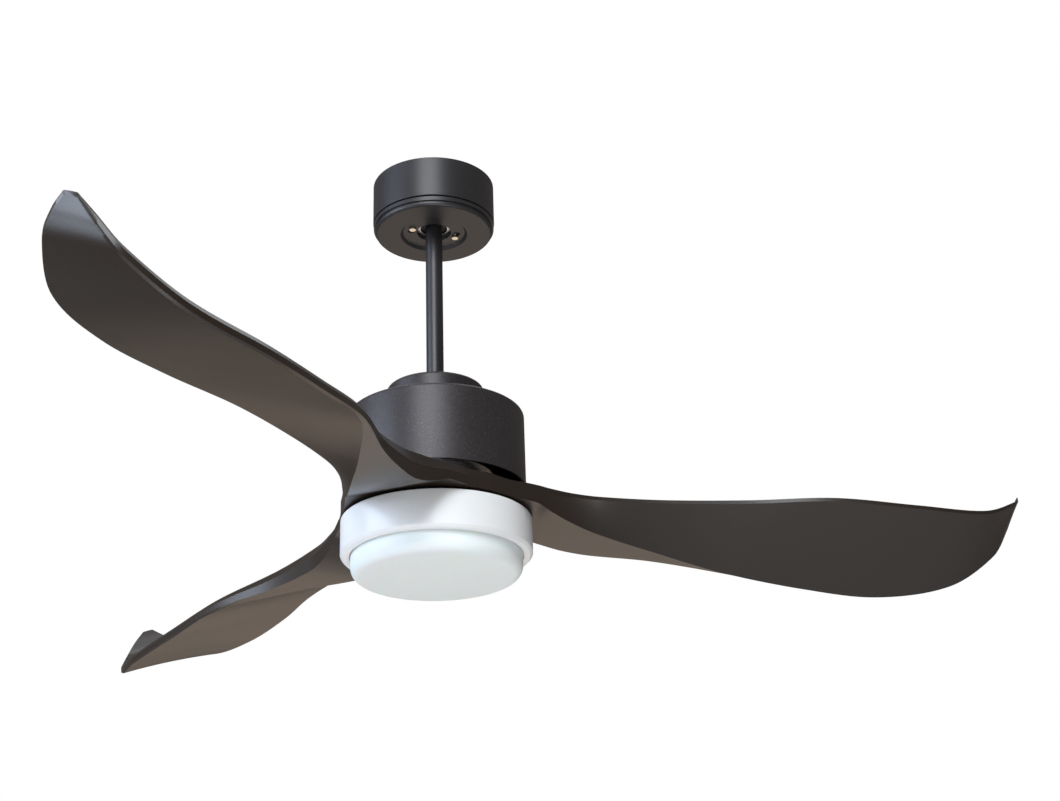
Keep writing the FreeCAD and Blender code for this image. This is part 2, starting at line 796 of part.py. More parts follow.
def make_rotor():
    """Outer rotor: two shells, magnets, and the carrier that turns the blades."""
    fit, wall = size("running_gap"), size("rotor_wall")
    seat = size("bearing_radius") + fit
    boss = size("bearing_radius") + 4
    upper_z, lower_z = bearing_heights()
    width = size("bearing_width")
    magnet_outer = size("stator_radius") + size("air_gap") + size("magnet_thickness")
    outer = magnet_outer + wall
    plate_top, plate_bottom = upper_z, lower_z + width
    publish(turned("rotor_top_shell", [
        (seat, upper_z + width), (boss, upper_z + width), (boss, plate_top + wall),
        (outer, plate_top + wall), (outer, plate_top), (seat, plate_top),
    ]), "rotor_top_shell")
    publish(turned("rotor_bottom_shell", [
        (magnet_outer, plate_top), (outer, plate_top), (outer, plate_bottom - wall),
        (boss, plate_bottom - wall), (boss, lower_z), (seat, lower_z),
        (seat, plate_bottom), (magnet_outer, plate_bottom),
    ]), "rotor_bottom_shell")

    magnet_height = size("stator_height") + 4
    magnet_z = depth("stator_top") - size("stator_height") - 2
    disc = cylinder("magnet_disc", magnet_outer - fit, magnet_height, z=magnet_z)
    magnet_bore = magnet_outer - size("magnet_thickness")
    tube = cut("magnet_tube", disc, [
        cylinder("magnet_bore", magnet_bore, magnet_height + 2, z=magnet_z - 1)
    ])
    gaps = [
        radial_block(
            f"magnet_gap{i}", 40.0, 40.0, 1.0, magnet_height + 2, magnet_z - 1, 360.0 / MAGNETS * i
        )
        for i in range(MAGNETS)
    ]
    publish(cut("rotor_magnets", tube, gaps), "rotor_magnets")

    flange_top = plate_bottom - wall
    sheet, carrier_bottom = size("carrier_sheet"), depth("root_top")
    neck_inner, neck, flange, clear = 31.0, 34.0, 47.0, boss + 1.5
    carrier = turned("carrier_shell", [
        (clear, flange_top), (flange, flange_top), (flange, flange_top - sheet),
        (neck, flange_top - sheet), (neck, carrier_bottom + sheet),
        (size("carrier_radius"), carrier_bottom + sheet), (size("carrier_radius"), carrier_bottom),
        (neck_inner, carrier_bottom), (neck_inner, flange_top - sheet), (clear, flange_top - sheet),
    ])
    holes, screws = [], []
    hole_radius = size("screw_radius") + fit
    for angle in (0, 90, 180, 270):
        x, y = around(41.0, angle)
        holes.append(cylinder(
            f"flange_hole{angle}", hole_radius, sheet + 2, x, y, flange_top - sheet - 1
        ))
        screws.append(screw(
            f"carrier_screw{angle}", size("screw_radius"), size("head_radius"), sheet, x, y,
            flange_top - sheet,
        ))
    for x, y in blade_screw_places():
        index = len(holes)
        holes.append(cylinder(f"carrier_hole{index}", hole_radius, sheet + 2, x, y, carrier_bottom - 1))
    publish(cut("blade_carrier", carrier, holes), "blade_carrier")
    publish(group("carrier_screws", screws), "carrier_screws")


def blade_screw_places():
    """Polar places of all blade screws, three to a blade."""
    places = []
    for blade_index in range(BLADES):
        for offset in BLADE_SCREW_ANGLES:
            angle = size("blade_angle") + 120.0 * blade_index + offset
            places.append(around(size("blade_screw_circle"), angle))
    return places


# --- light -----------------------------------------------------------------------


def make_light_mount():
    """Steel plate on the shaft's end that carries the light, with its nut and screws."""
    fit, wall = size("running_gap"), size("ring_wall")
    top, sheet = depth("ring_top"), 2.5
    radius = size("ring_radius") - wall - 0.3
    plate = turned("light_plate_disc", [
        (size("shaft_radius") + fit, top), (radius, top), (radius, top - sheet),
        (size("shaft_radius") + fit, top - sheet),
    ])
    holes, screws = [], []
    for angle in (60, 180, 300):
        x, y = around(size("ring_radius") - wall - 4.2, angle)
        holes.append(cylinder(f"light_hole{angle}", size("screw_radius") + fit, 8.0, x, y, top - 6))
        screws.append(screw(
            f"light_screw{angle}", size("screw_radius"), size("head_radius"), 4.0, x, y, top - sheet - 2
        ))
    publish(cut("light_plate", plate, holes), "light_plate")
    publish(group("light_screws", screws), "light_screws")
    nut = doc.addObject("Part::Prism", "nut_blank")
    nut.Polygon = 6
    bind(nut, "Circumradius", size("shaft_radius") + 6)
    bind(nut, "Height", 6.0)
    place(nut, 0, 0, top - sheet - 6)
    bore = cylinder("nut_bore", size("shaft_radius") + fit, 8.0, z=top - sheet - 7)
    publish(cut("shaft_nut", nut, [bore]), "shaft_nut")


def make_light_ring():
    """White ring of the light and the retainer its diffuser twists into."""
    radius, wall = size("ring_radius"), size("ring_wall")
    top, bottom = depth("ring_top"), depth("ring_bottom")
    ledge_top, ledge, bevel, flange = top - 2.5, 2.0, 3.0, 3.0
    mouth = size("diffuser_radius") + 1.2
    ring = turned("light_ring_shell", [
        (radius - wall, top), (radius, top), (radius, bottom + bevel), (radius - bevel, bottom),
        (mouth, bottom), (mouth, bottom + flange), (radius - wall, bottom + flange),
        (radius - wall, ledge_top - ledge), (radius - wall - 8, ledge_top - ledge),
        (radius - wall - 8, ledge_top), (radius - wall, ledge_top),
    ])
    round_rims(ring, [(radius, top)], 1.2)
    holes = []
    for angle in (60, 180, 300):
        x, y = around(radius - wall - 4.2, angle)
        hole_radius = size("screw_radius") + size("running_gap")
        holes.append(cylinder(f"ring_hole{angle}", hole_radius, 6.0, x, y, ledge_top - 4))
    publish(cut("light_ring", ring, holes), "light_ring")

    retainer_z = bottom + flange
    neck = size("diffuser_radius") - 4.5
    disc = turned("retainer_disc", [
        (neck + 1, retainer_z), (radius - wall - 0.3, retainer_z),
        (radius - wall - 0.3, retainer_z + 2), (neck + 1, retainer_z + 2),
    ])
    notches = [
        radial_block(
            f"notch{angle}", neck - 2, 6.5, 20.0, 6.0, retainer_z - 2, size("diffuser_twist") + angle
        )
        for angle in (0, 120, 240)
    ]
    publish(cut("diffuser_retainer", disc, notches), "diffuser_retainer")


def make_diffuser():
    """Opal diffuser bowl with three twist lugs on its neck."""
    radius, wall = size("diffuser_radius"), size("diffuser_wall")
    retainer_top = depth("ring_bottom") + 5
    gap = size("socket_gap")
    lug_bottom, lug = retainer_top + gap, 2.0
    neck, shoulder = radius - 4.5, depth("ring_bottom") + 2.5
    bottom = depth("diffuser_depth")
    bowl = turned("diffuser_bowl", [
        (neck - wall, lug_bottom + lug), (neck, lug_bottom + lug), (neck, shoulder),
        (radius, shoulder), (radius, bottom), (0, bottom), (0, bottom + wall),
        (radius - wall, bottom + wall), (radius - wall, shoulder - wall), (neck - wall, shoulder - wall),
    ])
    corner = size("diffuser_corner")
    round_rims(bowl, [(radius, bottom)], corner)
    round_rims(bowl, [(radius - wall, bottom + wall)], corner - wall)
    lugs = [
        radial_block(f"lug{angle}", neck - 1, 4.5, 16.0, lug, lug_bottom, angle)
        for angle in (0, 120, 240)
    ]
    publish(fuse("diffuser", [bowl] + lugs), "diffuser")


def make_led_engine():
    """LED tray on standoffs, with its board, chips and driver."""
    plate_bottom = depth("ring_top") - 2.5
    drop, tray_sheet, board_sheet = 24.0, 1.5, 1.6
    tray_top = plate_bottom - drop
    radius = size("led_radius")
    publish(cylinder("led_tray", radius, tray_sheet, z=tray_top - tray_sheet), "led_tray")
    board_top = tray_top - tray_sheet
    publish(cylinder("led_board", radius - 2, board_sheet, z=board_top - board_sheet), "led_board")
    standoffs = []
    for angle in (30, 150, 270):
        x, y = around(58.0, angle)
        standoffs.append(cylinder(f"standoff{angle}", 4.0, drop, x, y, tray_top))
    publish(group("tray_standoffs", standoffs), "tray_standoffs")
    chips = []
    for ring_radius, count in LED_RINGS:
        for k in range(count):
            angle = 360.0 / count * k
            chips.append(radial_block(
                f"led{count}_{k}", ring_radius, 3.5, 2.8, 0.8, board_top - board_sheet - 0.8, angle
            ))
    publish(group("led_chips", chips), "led_chips")
    publish(block("led_driver", 78.0, 28.0, 16.0, y=-34.0, z=tray_top), "led_driver")


# --- blades ----------------------------------------------------------------------


def blade_section(row):
    """One section of the blade as a closed wire of five edges, and its corners."""
    place_along, *corners = row
    root_x = SIZES["hub_radius"] * math.cos(math.radians(60))
    tip_x = SIZES["sweep_radius"]
    x = root_x + (tip_x - root_x) * place_along
    chord, drop = SIZES["blade_chord"], SIZES["blade_drop"]
    top = -SIZES["root_top"]
    tail, front, back, lead = [Vector(x, side * chord, top - fall * drop) for side, fall in corners]
    edge = Vector(0, 0, SIZES["blade_edge"] * (1.0 if place_along else 0.0))
    return tail, front, back, lead, edge


def blade_wire(row):
    """The section's outline, with a thin upright edge at its tail."""
    tail, front, back, lead, edge = blade_section(row)
    tail_top = tail + edge
    points = [tail_top, tail, front, back, lead]
    return Part.makePolygon(points + points[:1])


def root_block():
    """The root's inner part, a third of the hub ring between two seam planes."""
    half = math.radians(60)
    outer, inner = SIZES["hub_radius"], SIZES["root_inner_radius"]
    seam = SIZES["seam_gap"] * 0.5
    corners = []
    for radius, side in ((inner, -1), (outer, -1), (outer, 1), (inner, 1)):
        x = radius * math.cos(half)
        y = side * (radius * math.sin(half) - seam)
        corners.append(Vector(x, y, -SIZES["root_top"]))
    face = Part.Face(Part.makePolygon(corners + corners[:1]))
    return face.extrude(Vector(0, 0, -SIZES["blade_drop"] * BLADE_SECTIONS[0][2][1]))


def make_blades():
    """Three moulded blades, each with its share of the hub ring and its screws."""
    wires = [blade_wire(row) for row in BLADE_SECTIONS]
    shoulder = Part.makeLoft(wires[:FLAT_SECTIONS], True, True)
    wing = Part.makeLoft(wires[FLAT_SECTIONS - 1:], True, False)
    blade = wing.fuse([shoulder, root_block()]).removeSplitter()
    hole_radius = SIZES["screw_radius"] + SIZES["running_gap"]
    root_height = SIZES["blade_drop"] * BLADE_SECTIONS[0][2][1]
    head_room = SIZES["head_radius"] + 1.0
    web = 5.0
    for angle in BLADE_SCREW_ANGLES:
        turn = math.radians(angle)
        spot = Vector(math.cos(turn), math.sin(turn), 0) * SIZES["blade_screw_circle"]
        hole = Part.makeCylinder(hole_radius, 60, spot + Vector(0, 0, -SIZES["root_top"] - 50))
        recess = Part.makeCylinder(
            head_room, root_height + 20, spot + Vector(0, 0, -SIZES["root_top"] - web - root_height - 20)
        )
        blade = blade.cut(hole).cut(recess)
    for i in range(BLADES):
        piece = doc.addObject("Part::Feature", f"fan_blade_{i + 1}")
        piece.Shape = blade
        turn = SIZES["blade_angle"] + 120.0 * i
        piece.Placement = Placement(Vector(), Rotation(Vector(0, 0, 1), turn))
        publish(piece, f"blade_{i + 1}")
    screws = [
        screw(f"blade_screw{i}", size("screw_radius"), size("head_radius"), web + 3, x, y,
              depth("root_top") - web)
        for i, (x, y) in enumerate(blade_screw_places())
    ]
    publish(group("blade_screws", screws), "blade_screws")


# --- the whole fan ---------------------------------------------------------------


def check_document():
    """Stop if any object failed or any sub-part has no sound solid."""
    doc.recompute()
    for item in doc.Objects:
        if "Invalid" in item.State or "Error" in item.State:
            raise RuntimeError(f"{item.Name} failed: {item.State}")
    for piece in NODES:
        shape = piece.Shape
        if shape.isNull() or not shape.isValid() or not shape.Solids:
            raise RuntimeError(f"{piece.Label} has no valid solid")


def export_nodes():
    """Write each sub-part to its own STEP file."""
    os.makedirs("parts", exist_ok=True)
    for piece in NODES:
        piece.Shape.exportStep(f"parts/{piece.Label}.step")
        print(piece.Label, len(piece.Shape.Solids), round(piece.Shape.Volume))


make_sheet()
for maker in (
    make_bracket, make_canopy, make_receiver, make_ball_joint, make_downrod, make_yoke,
    make_coupling_cover, make_housing, make_controller, make_shaft, make_stator, make_bearings,
    make_rotor, make_light_mount, make_light_ring, make_diffuser, make_led_engine, make_blades,
):
    maker()
check_document()
export_nodes()
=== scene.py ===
"""Ceiling fan with a round light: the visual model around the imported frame."""

import json
import logging
import math
from dataclasses import dataclass, field
from enum import Enum

import bmesh
import bpy
from mathutils import Matrix, Vector


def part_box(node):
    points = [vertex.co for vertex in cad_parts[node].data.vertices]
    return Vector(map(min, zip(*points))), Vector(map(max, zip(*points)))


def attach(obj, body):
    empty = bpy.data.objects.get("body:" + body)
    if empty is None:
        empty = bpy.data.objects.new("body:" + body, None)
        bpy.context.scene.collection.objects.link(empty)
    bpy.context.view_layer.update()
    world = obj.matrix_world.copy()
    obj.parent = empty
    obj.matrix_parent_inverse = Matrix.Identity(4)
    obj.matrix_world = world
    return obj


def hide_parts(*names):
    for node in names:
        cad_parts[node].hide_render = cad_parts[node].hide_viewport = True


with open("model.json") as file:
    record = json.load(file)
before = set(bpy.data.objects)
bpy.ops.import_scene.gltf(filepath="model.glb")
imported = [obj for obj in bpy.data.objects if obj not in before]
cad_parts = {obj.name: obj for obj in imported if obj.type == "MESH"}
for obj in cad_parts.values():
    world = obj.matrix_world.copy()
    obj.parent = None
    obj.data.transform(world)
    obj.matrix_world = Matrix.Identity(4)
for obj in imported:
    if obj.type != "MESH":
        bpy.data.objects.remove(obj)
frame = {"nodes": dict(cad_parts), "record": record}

LOG = logging.getLogger("fan")
MM = 0.001
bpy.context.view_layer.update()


class Body(Enum):
    """The bodies of the fan that pieces ride on."""

    CANOPY = "canopy"
    HANGING = "hanging"
    ROTOR = "rotor"
    DIFFUSER = "diffuser"


class Smoothing(Enum):
    """How sharp an edge stays when a piece is shaded smooth, in degrees."""

    CRISP = 25.0
    SOFT = 50.0


# --- finishes --------------------------------------------------------------------


def make_grain_group() -> bpy.types.NodeTree:
    """Build the shared grain effect: fine bumps and slow mottling in object space.

    Returns:
        The node group, with inputs Grain and Patch and outputs Height, Mottle and Speck.
    """
    group = bpy.data.node_groups.new("surface_grain", "ShaderNodeTree")
    group.interface.new_socket("Grain", in_out="INPUT", socket_type="NodeSocketFloat")
    group.interface.new_socket("Patch", in_out="INPUT", socket_type="NodeSocketFloat")
    for label in ("Height", "Mottle", "Speck"):
        group.interface.new_socket(label, in_out="OUTPUT", socket_type="NodeSocketFloat")
    nodes, links = group.nodes, group.links
    start, end = nodes.new("NodeGroupInput"), nodes.new("NodeGroupOutput")
    place = nodes.new("ShaderNodeTexCoord")
    fine, slow = nodes.new("ShaderNodeTexNoise"), nodes.new("ShaderNodeTexNoise")
    fine.inputs["Detail"].default_value = 3.0
    slow.inputs["Detail"].default_value = 2.0
    for noise in (fine, slow):
        links.new(place.outputs["Object"], noise.inputs["Vector"])
    links.new(start.outputs["Grain"], fine.inputs["Scale"])
    links.new(start.outputs["Patch"], slow.inputs["Scale"])
    speck = nodes.new("ShaderNodeMapRange")
    speck.inputs["From Min"].default_value = 0.58
    speck.inputs["From Max"].default_value = 0.72
    links.new(fine.outputs["Fac"], speck.inputs["Value"])
    links.new(fine.outputs["Fac"], end.inputs["Height"])
    links.new(slow.outputs["Fac"], end.inputs["Mottle"])
    links.new(speck.outputs["Result"], end.inputs["Speck"])
    return group


GRAIN = make_grain_group()


@dataclass(frozen=True)
class Finish:
    """One surface finish: two close tones, its gloss and its grain."""

    name: str
    tone: tuple[float, float, float]
    second_tone: tuple[float, float, float]
    roughness: float
    metallic: float = 0.0
    grain_per_metre: float = 900.0
    patch_per_metre: float = 12.0
    bump_depth: float = 0.00003
    bump_strength: float = 0.25
    speck: float = 0.0
    coat: float = 0.0
    subsurface: float = 0.0
    glow: float = 0.0

    def material(self) -> bpy.types.Material:
        """Return this finish's material, made on first use."""
        found = bpy.data.materials.get(self.name)
        return found if found else self.build()

    def build(self) -> bpy.types.Material:
        """Build the node material.

        Returns:
            The new material.
        """
        made = bpy.data.materials.new(self.name)
        made.use_nodes = True
        nodes, links = made.node_tree.nodes, made.node_tree.links
        shader = nodes["Principled BSDF"]
        grain = nodes.new("ShaderNodeGroup")
        grain.node_tree = GRAIN
        grain.inputs["Grain"].default_value = self.grain_per_metre
        grain.inputs["Patch"].default_value = self.patch_per_metre
        tones = nodes.new("ShaderNodeMix")
        tones.data_type = "RGBA"
        tones.inputs["A"].default_value = (*self.tone, 1.0)
        tones.inputs["B"].default_value = (*self.second_tone, 1.0)
        links.new(grain.outputs["Mottle"], tones.inputs["Factor"])
        colour = tones.outputs["Result"]
        if self.speck:
            colour = self.add_specks(nodes, links, grain, colour)
        links.new(colour, shader.inputs["Base Color"])
        gloss = nodes.new("ShaderNodeMapRange")
        gloss.inputs["To Min"].default_value = self.roughness - 0.04
        gloss.inputs["To Max"].default_value = self.roughness + 0.04
        links.new(grain.outputs["Mottle"], gloss.inputs["Value"])
        links.new(gloss.outputs["Result"], shader.inputs["Roughness"])
        bump = nodes.new("ShaderNodeBump")
        bump.inputs["Strength"].default_value = self.bump_strength
        bump.inputs["Distance"].default_value = self.bump_depth
        links.new(grain.outputs["Height"], bump.inputs["Height"])
        links.new(bump.outputs["Normal"], shader.inputs["Normal"])
        shader.inputs["Metallic"].default_value = self.metallic
        shader.inputs["Coat Weight"].default_value = self.coat
        shader.inputs["Subsurface Weight"].default_value = self.subsurface
        shader.inputs["Subsurface Scale"].default_value = 0.01
        if self.glow:
            shader.inputs["Emission Color"].default_value = (1.0, 1.0, 1.0, 1.0)
            shader.inputs["Emission Strength"].default_value = self.glow
        return made

    def add_specks(self, nodes, links, grain, colour) -> bpy.types.NodeSocket:
        """Mix the bright flakes of a metallic coat over a colour.

        Args:
            nodes: The material's nodes.
            links: The material's links.
            grain: The grain group's node.
            colour: The colour to put the flakes on.

        Returns:
            The mixed colour.
        """
        amount = nodes.new("ShaderNodeMath")
        amount.operation = "MULTIPLY"
        amount.inputs[1].default_value = self.speck
        links.new(grain.outputs["Speck"], amount.inputs[0])
        flakes = nodes.new("ShaderNodeMix")
        flakes.data_type = "RGBA"
        flakes.inputs["B"].default_value = (0.32, 0.30, 0.31, 1.0)
        links.new(colour, flakes.inputs["A"])
        links.new(amount.outputs[0], flakes.inputs["Factor"])
        return flakes.outputs["Result"]


CANOPY_COAT = Finish(
    "charcoal_powder_coat", (0.014, 0.013, 0.015), (0.020, 0.019, 0.021), 0.40,
    grain_per_metre=1400.0, bump_depth=0.00006, bump_strength=0.5, speck=0.08,
)
HOUSING_COAT = Finish(
    "graphite_flake_coat", (0.026, 0.022, 0.025), (0.034, 0.029, 0.030), 0.42, metallic=0.3,
    grain_per_metre=1300.0, bump_depth=0.00008, bump_strength=0.6, speck=0.30,
)
BLADE_PLASTIC = Finish(
    "dark_moulded_blade", (0.0170, 0.0118, 0.0088), (0.0220, 0.0152, 0.0114), 0.33,
    grain_per_metre=2200.0, patch_per_metre=5.0, bump_depth=0.00002, bump_strength=0.3,
)
WHITE_PLASTIC = Finish(
    "white_moulded_plastic", (0.80, 0.80, 0.81), (0.84, 0.84, 0.85), 0.34,
    grain_per_metre=700.0, bump_depth=0.00001, bump_strength=0.1, subsurface=0.1,
)
OPAL = Finish(
    "opal_diffuser", (0.84, 0.84, 0.85), (0.88, 0.88, 0.88), 0.48,
    grain_per_metre=1800.0, bump_depth=0.00001, bump_strength=0.15, subsurface=0.3,
)
ZINC = Finish("zinc_plated_steel", (0.55, 0.56, 0.58), (0.66, 0.66, 0.65), 0.33, metallic=1.0)
POLISHED = Finish("polished_bearing_steel", (0.70, 0.70, 0.71), (0.76, 0.76, 0.77), 0.14, metallic=1.0)
BRIGHT_SCREW = Finish("bright_screw_steel", (0.74, 0.70, 0.60), (0.80, 0.76, 0.66), 0.2, metallic=1.0)
NYLON = Finish("black_nylon", (0.012, 0.012, 0.013), (0.02, 0.02, 0.021), 0.5)
CIRCUIT = Finish("green_circuit_board", (0.02, 0.14, 0.05), (0.03, 0.18, 0.07), 0.35, coat=0.4)
CHIP_BLACK = Finish("black_component_epoxy", (0.02, 0.02, 0.022), (0.035, 0.035, 0.037), 0.45)
LAMINATION = Finish("stacked_steel_sheets", (0.20, 0.20, 0.21), (0.28, 0.28, 0.29), 0.45, metallic=0.9)
ALLOY = Finish("cast_aluminium", (0.60, 0.61, 0.62), (0.68, 0.68, 0.69), 0.38, metallic=1.0)
COPPER = Finish("enamelled_copper", (0.62, 0.24, 0.09), (0.74, 0.32, 0.13), 0.3, metallic=1.0)
MAGNET = Finish("plated_magnet", (0.22, 0.22, 0.23), (0.3, 0.3, 0.31), 0.35, metallic=0.9)
LED_WHITE = Finish("white_lamp_board", (0.84, 0.84, 0.82), (0.88, 0.88, 0.86), 0.4)
PHOSPHOR = Finish("yellow_phosphor", (0.90, 0.72, 0.16), (0.94, 0.80, 0.24), 0.4)
DRIVER_CASE = Finish("pale_driver_case", (0.66, 0.66, 0.66), (0.72, 0.72, 0.71), 0.5)

SLOT_FINISHES = {
    "canopy_coat": CANOPY_COAT, "housing_coat": HOUSING_COAT, "blade_plastic": BLADE_PLASTIC,
    "white_plastic": WHITE_PLASTIC, "opal_plastic": OPAL, "zinc_steel": ZINC,
    "bearing_steel": POLISHED, "brass_screw": BRIGHT_SCREW, "black_nylon": NYLON,
    "circuit_board": CIRCUIT, "board_parts": CHIP_BLACK, "lamination": LAMINATION,
    "alloy": ALLOY, "copper_wire": COPPER, "magnet": MAGNET, "led_board": LED_WHITE,
    "led_phosphor": PHOSPHOR, "driver_case": DRIVER_CASE,
}


# --- modelling tools -------------------------------------------------------------


def clear_selection() -> None:
    """Deselect every object."""
    bpy.ops.object.select_all(action="DESELECT")


def settle(piece: bpy.types.Object, smoothing: Smoothing) -> None:
    """Close doubles, point faces outwards and shade a new piece.

    Args:
        piece: The new mesh object.
        smoothing: How sharp its edges stay.
    """
    bpy.context.view_layer.objects.active = piece
    bpy.ops.object.mode_set(mode="EDIT")
    bpy.ops.mesh.select_all(action="SELECT")
    bpy.ops.mesh.remove_doubles(threshold=0.00001)
    bpy.ops.mesh.normals_make_consistent(inside=False)
    bpy.ops.object.mode_set(mode="OBJECT")
    clear_selection()
    piece.select_set(True)
    bpy.ops.object.shade_smooth_by_angle(angle=math.radians(smoothing.value))


def turn_profile(
    name: str, profile: list[tuple[float, float]], rounding: float, segments: int = 128
) -> bpy.types.Object:
    """Extrude and scale a ring along a closed profile about the fan's axis.

    Args:
        name: The piece's name.
        profile: Radius and height of each corner, in metres, in order.
        rounding: The radius worn onto every corner.
        segments: How many sides the round has.

    Returns:
        The turned piece.
    """
    clear_selection()
    first_radius, first_height = profile[0]
    bpy.ops.mesh.primitive_circle_add(vertices=segments, radius=first_radius, location=(0, 0, first_height))
    piece = bpy.context.object
    piece.name = name
    bpy.ops.object.transform_apply(location=True)
    bpy.ops.object.mode_set(mode="EDIT")
    bpy.ops.mesh.select_all(action="SELECT")
    radius, height = profile[0]
    for next_radius, next_height in profile[1:] + profile[:1]:
        bpy.ops.mesh.extrude_region_move(
            TRANSFORM_OT_translate={"value": (0, 0, next_height - height)}
        )
        scale = next_radius / radius
        bpy.ops.transform.resize(value=(scale, scale, 1), center_override=(0, 0, 0))
        radius, height = next_radius, next_height
    bpy.ops.object.mode_set(mode="OBJECT")
    settle(piece, Smoothing.CRISP)
    bevel = piece.modifiers.new("worn_corners", "BEVEL")
    bevel.width = rounding
    bevel.segments = 4
    bevel.limit_method = "ANGLE"
    bevel.angle_limit = math.radians(25)
    bevel.use_clamp_overlap = True
    bpy.ops.object.modifier_apply(modifier=bevel.name)
    settle(piece, Smoothing.SOFT)
    return piece


def dress(piece: bpy.types.Object, finish: Finish, body: Body, slot: str, *nodes: str) -> None:
    """Give a new piece its finish and body, and hide the nodes that it stands for.

    Args:
        piece: The finished piece.
        finish: Its finish.
        body: The body that it rides on.
        slot: The record's material slot; not used.
        nodes: The nodes that it stands for.
    """
    piece.data.materials.clear()
    piece.data.materials.append(finish.material())
    if nodes:
        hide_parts(*nodes)
    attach(piece, body.value)
    LOG.info("%s made for %s on %s", piece.name, ", ".join(nodes), body.value)


# --- the canopy, rod and motor covers -----------------------------------------------


@dataclass
class Canopy:
    """The ceiling canopy's cup, with its lip turned in above the cap."""

    wall: float = 1.5 * MM

    def build(self) -> None:
        """Model the cup with its rounded rim."""
        low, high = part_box("canopy_cup")
        radius = high.x
        lip = radius - 3 * self.wall
        cup = turn_profile("canopy_cup_shell", [
            (radius, high.z), (radius, low.z), (lip, low.z), (lip, low.z + self.wall),
            (radius - self.wall, low.z + self.wall), (radius - self.wall, high.z),
        ], 0.5 * MM)
        dress(cup, CANOPY_COAT, Body.CANOPY, "canopy_coat", "canopy_cup")


@dataclass
class DrumCovers:
    """The flared coupling cover and the motor's drum, with softly rounded shoulders."""

    wall: float = 1.8 * MM
    cover_wall: float = 1.5 * MM
    shoulder: float = 3.5 * MM

    def build(self) -> None:
        """Model both covers from the boxes of their nodes."""
        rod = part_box("downrod")[1].x
        self.drum("coupling_cover", "coupling_cover_form", rod + 1.0 * MM, self.cover_wall)
        self.drum("motor_housing", "motor_drum", 17.0 * MM, self.wall)

    def drum(self, node: str, name: str, hole: float, wall: float) -> None:
        """Model one upside-down cup with a round hole in its top.

        Args:
            node: The node that it stands for.
            name: The new piece's name.
            hole: The radius of the hole in its top.
            wall: The wall's thickness.
        """
        low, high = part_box(node)
        radius, round_by = high.x, self.shoulder
        arc = [
            (radius - round_by + round_by * math.sin(turn), high.z - round_by + round_by * math.cos(turn))
            for turn in (math.radians(15 * step) for step in range(7))
        ]
        drum = turn_profile(name, [
            (hole, high.z), *arc, (radius, low.z), (radius - wall, low.z),
            (radius - wall, high.z - round_by), (radius - round_by, high.z - wall), (hole, high.z - wall),
        ], 0.5 * MM)
        dress(drum, HOUSING_COAT, Body.HANGING, "housing_coat", node)


@dataclass
class Lamp:
    """The white ring and the opal bowl below it."""

    ring_wall: float = 2.6 * MM
    bowl_wall: float = 2.4 * MM
    bowl_corner: float = 11.0 * MM
    bevel: float = 3.0 * MM

    def build(self) -> None:
        """Model the ring and the bowl."""
        self.build_ring()
        self.build_bowl()

    def build_ring(self) -> None:
        """Model the ring with its bevelled lower rim and the inner ledge."""
        low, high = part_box("light_ring")
        radius, inner = high.x, high.x - self.ring_wall
        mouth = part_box("diffuser")[1].x + 1.2 * MM
        ledge_top, flange, round_by = high.z - 2.6 * MM, 3.0 * MM, 1.6 * MM
        arc = [
            (radius - round_by + round_by * math.sin(turn), high.z - round_by + round_by * math.cos(turn))
            for turn in (math.radians(18 * step) for step in range(6))
        ]
        ring = turn_profile("light_ring_form", [
            (inner, high.z), *arc, (radius, low.z + self.bevel), (radius - self.bevel, low.z),
            (mouth, low.z), (mouth, low.z + flange), (inner, low.z + flange),
            (inner, ledge_top - 2.0 * MM), (inner - 8.0 * MM, ledge_top - 2.0 * MM),
            (inner - 8.0 * MM, ledge_top), (inner, ledge_top),
        ], 0.5 * MM)
        dress(ring, WHITE_PLASTIC, Body.HANGING, "white_plastic", "light_ring")

    def build_bowl(self) -> None:
        """Model the opal bowl with its narrower neck and rounded foot."""
        low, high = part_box("diffuser")
        radius, neck = high.x, high.x - 4.5 * MM
        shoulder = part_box("light_ring")[0].z + 2.5 * MM
        corner, wall = self.bowl_corner, self.bowl_wall
        turns = [math.radians(90.0 / 10 * step) for step in range(11)]
        foot = [
            (radius - corner + corner * math.cos(turn), low.z + corner - corner * math.sin(turn))
            for turn in turns
        ]
        inner = [
            (radius - corner + (corner - wall) * math.cos(turn),
             low.z + corner - (corner - wall) * math.sin(turn))
            for turn in reversed(turns)
        ]
        pole = 0.5 * MM
        bowl = turn_profile("opal_bowl", [
            (neck - wall, high.z), (neck, high.z), (neck, shoulder), (radius, shoulder), *foot,
            (pole, low.z), (pole, low.z + wall), *inner, (radius - wall, shoulder - wall),
            (neck - wall, shoulder - wall),
        ], 0.4 * MM)
        dress(bowl, OPAL, Body.DIFFUSER, "opal_plastic", "diffuser")


# --- the blades ---------------------------------------------------------------------


@dataclass(frozen=True)
class BladeSection:
    """One section across a blade, in metres, in the blade's own frame.

    Each corner is a side offset and a height; tail and lead are the two top corners.
    """

    x: float
    tail: tuple[float, float]
    front: tuple[float, float]
    back: tuple[float, float]
    lead: tuple[float, float]


